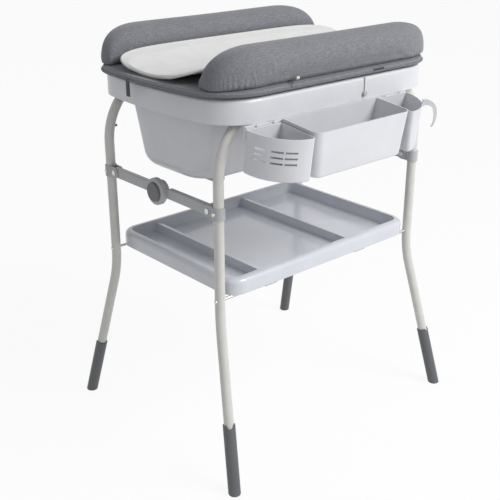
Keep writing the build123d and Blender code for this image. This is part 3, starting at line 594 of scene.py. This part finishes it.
def make_pad():
    """Liner pad: a thin quilted trough with a bound edge."""
    columns = PAD_COLUMNS
    rows = PAD_ROWS
    top = []
    under = []
    for column in range(columns + 1):
        x = -pad_half_x * 0.999 * cos(pi * column / columns)
        half = max(PAD_TIP_HALF, pad_half_at(x))
        for row in range(rows + 1):
            y = -half * cos(pi * row / rows)
            place = Vector((pad_middle.x + x, pad_middle.y + y, 0))
            top.append(place + Vector((0, 0, pad_top(x, y))))
            under.append(place + Vector((0, 0, pad_low.z + 0.0006 + PAD_RISE * (y / pad_half_y) ** 2)))
    stride = rows + 1
    count = len(top)
    faces = []
    for column in range(columns):
        for row in range(rows):
            a = column * stride + row
            b = a + stride
            faces.append((a, b, b + 1, a + 1))
            faces.append((count + a, count + a + 1, count + b + 1, count + b))
    rim = [column * stride for column in range(columns + 1)]
    rim += [columns * stride + row for row in range(1, stride)]
    rim += [column * stride + rows for column in range(columns - 1, -1, -1)]
    rim += [row for row in range(rows - 1, 0, -1)]
    for index, here in enumerate(rim):
        ahead = rim[(index + 1) % len(rim)]
        faces.append((ahead, here, count + here, count + ahead))
    pad = mesh_piece("liner_pad_cover", top + under, faces)
    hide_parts("liner_pad")
    dress(pad, MATERIALS["pad_fabric"], "mat")
    edge = [(top[index] + under[index]) / 2 for index in rim]
    binding = tube("pad_binding", edge, PAD_EDGE_R, 10)
    dress(binding, PAD_BINDING, "mat")


def make_flap(node_name, material, flat_axis):
    """Strap or tag: a thin cloth with a soft bow, hung where its solid is."""
    low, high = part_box(node_name)
    middle = (low + high) / 2
    size = high - low
    steps = FLAP_STEPS
    along = 1 - flat_axis
    out = 1 if middle[flat_axis] > 0 else -1
    points = []
    for row in range(steps + 1):
        for column in range(steps + 1):
            place = middle.copy()
            place[along] += size[along] * (column / steps - 0.5)
            place.z += size.z * (row / steps - 0.5)
            bow = sin(pi * row / steps) * (size[flat_axis] / 2 - CLOTH_THICKNESS)
            place[flat_axis] += out * bow
            points.append(place)
    stride = steps + 1
    faces = []
    for row in range(steps):
        for column in range(steps):
            a = row * stride + column
            faces.append((a, a + 1, a + stride + 1, a + stride))
    flap = mesh_piece(node_name + "_cloth", points, faces)
    thick = flap.modifiers.new("thickness", "SOLIDIFY")
    thick.thickness = CLOTH_THICKNESS
    thick.offset = 0.0
    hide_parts(node_name)
    dress(flap, material, "mat")
    return flap, (size[along], size.z)


def make_cord():
    """Taut elastic cord from the rim down to its button."""
    low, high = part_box("elastic_cord")
    middle = (low + high) / 2
    path = [Vector((middle.x, middle.y, z)) for z in np.linspace(high.z, low.z, 24)]
    cord = tube("elastic_cord_braid", path, CORD_D / 2, 12, closed=False)
    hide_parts("elastic_cord")
    dress(cord, MATERIALS["cord_elastic"], "tub")


make_mat_base()
strap, strap_cut = make_flap("mat_strap", MATERIALS["strap_fabric"], 0)
make_flap("hem_tag", MATERIALS["tag_fabric"], 1)
make_cord()
make_bolster("bolster_front", -1)
make_bolster("bolster_rear", 1)
make_pad()


# Stage, light and camera

def make_stage():
    """Pale floor that keeps the object's shadow, with a white world behind it."""
    half = FLOOR_HALF
    corners = [(-half, -half, 0), (half, -half, 0), (half, half, 0), (-half, half, 0)]
    floor = mesh_piece("floor", corners, [(0, 1, 2, 3)])
    made, tree, shader = new_material("floor_white")
    shader.inputs["Base Color"].default_value = (0.93, 0.93, 0.93, 1)
    shader.inputs["Roughness"].default_value = 0.9
    shader.inputs["Specular IOR Level"].default_value = 0.1
    rays = node(tree, "ShaderNodeLightPath")
    glow = node(tree, "ShaderNodeEmission", {"Color": (1, 1, 1, 1), "Strength": 1.0})
    seen = node(
        tree,
        "ShaderNodeMath",
        {0: rays.outputs["Is Camera Ray"], 1: rays.outputs["Is Glossy Ray"]},
        operation="MAXIMUM",
    )
    share = node(tree, "ShaderNodeMath", {0: seen.outputs["Value"], 1: FLOOR_GLOW}, operation="MULTIPLY")
    mixed = node(
        tree,
        "ShaderNodeMixShader",
        {0: share.outputs["Value"], 1: shader.outputs["BSDF"], 2: glow.outputs["Emission"]},
    )
    tree.links.new(mixed.outputs["Shader"], tree.nodes["Material Output"].inputs["Surface"])
    floor.data.materials.append(made)

    world = bpy.data.worlds.new("studio")
    bpy.context.scene.world = world
    world.use_nodes = True
    tree = world.node_tree
    tree.nodes.clear()
    rays = node(tree, "ShaderNodeLightPath")
    direct = node(
        tree,
        "ShaderNodeMath",
        {0: rays.outputs["Is Camera Ray"], 1: rays.outputs["Is Glossy Ray"]},
        operation="MAXIMUM",
    )
    clear = node(
        tree,
        "ShaderNodeMath",
        {0: direct.outputs["Value"], 1: rays.outputs["Is Transmission Ray"]},
        operation="MAXIMUM",
    )
    soft = node(tree, "ShaderNodeBackground", {"Color": (0.95, 0.97, 1.0, 1), "Strength": WORLD_LIGHT})
    white = node(tree, "ShaderNodeBackground", {"Color": (1, 1, 1, 1), "Strength": 1.0})
    mixed = node(
        tree,
        "ShaderNodeMixShader",
        {0: clear.outputs["Value"], 1: soft.outputs["Background"], 2: white.outputs["Background"]},
    )
    output = node(tree, "ShaderNodeOutputWorld")
    tree.links.new(mixed.outputs["Shader"], output.inputs["Surface"])


def make_light(name, place, target, size, power):
    """Soft square lamp aimed at a point."""
    lamp = bpy.data.lights.new(name, "AREA")
    lamp.size = size
    lamp.energy = power
    made = bpy.data.objects.new(name, lamp)
    made.location = place
    made.rotation_euler = (Vector(target) - Vector(place)).to_track_quat("-Z", "Y").to_euler()
    bpy.context.scene.collection.objects.link(made)


def make_camera():
    """Camera at the photograph's place, measured from the middle of the legs."""
    front_low, front_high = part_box("front_top_tube")
    rear_low, rear_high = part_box("rear_top_tube")
    middle_y = (front_low.y + front_high.y + rear_low.y + rear_high.y) / 4
    lens = bpy.data.cameras.new("camera")
    lens.lens = LENS
    lens.sensor_width = SENSOR
    made = bpy.data.objects.new("camera", lens)
    made.location = CAMERA_PLACE + Vector((0, middle_y, 0))
    ahead = Vector(
        (-sin(AZIMUTH) * cos(ELEVATION), cos(AZIMUTH) * cos(ELEVATION), -sin(ELEVATION))
    )
    made.rotation_euler = ahead.to_track_quat("-Z", "Y").to_euler()
    bpy.context.scene.collection.objects.link(made)
    bpy.context.scene.camera = made


make_stage()
make_light("key", KEY_PLACE, KEY_TARGET, KEY_SIZE, KEY_POWER)
make_camera()
bpy.context.scene.view_settings.view_transform = "Standard"
